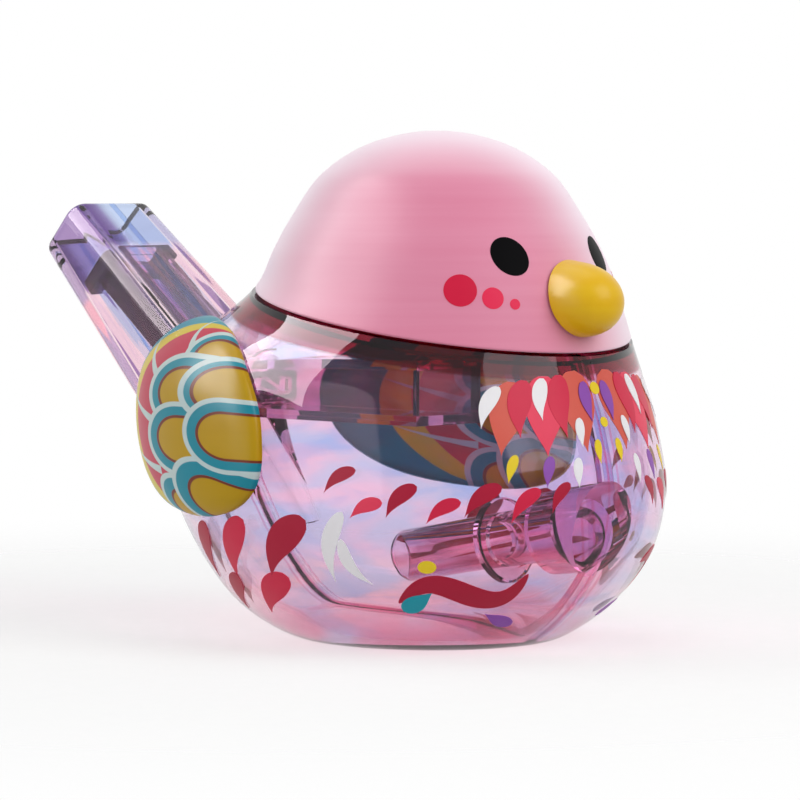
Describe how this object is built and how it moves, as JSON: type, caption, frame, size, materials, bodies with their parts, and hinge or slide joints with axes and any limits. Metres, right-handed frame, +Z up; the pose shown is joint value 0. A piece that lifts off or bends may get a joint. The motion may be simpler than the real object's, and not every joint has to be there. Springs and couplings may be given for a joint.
{
  "type": "bird whistle",
  "caption": "Bird-shaped water whistle: clear hollow body with raised wings, opaque head cap, beak, square mouthpiece tail, inner windway, whistle chamber and water tube.",
  "frame": {"origin": "centre of the bounding box at the flat foot's height, so the whistle stands on Z = 0", "axes": "+Z up; +Y from the beak to the tail, the mouthpiece; +X to the bird's left; X = 0 is the middle plane"},
  "size_m": [0.0608, 0.0898, 0.0599],
  "materials": {
    "clear_pink": "clear moulded plastic, polished",
    "pearl_pink": "opaque pearly satin",
    "yellow": "opaque satin",
    "clear_violet": "clear moulded plastic, tinted"
  },
  "bodies": {
    "root": {"body_right_half": "clear_pink", "body_left_half": "clear_pink", "head_cap": "pearl_pink", "beak": "yellow", "windway_insert": "clear_violet", "whistle_chamber": "clear_violet", "water_tube": "clear_violet"}
  },
  "joints": []
}
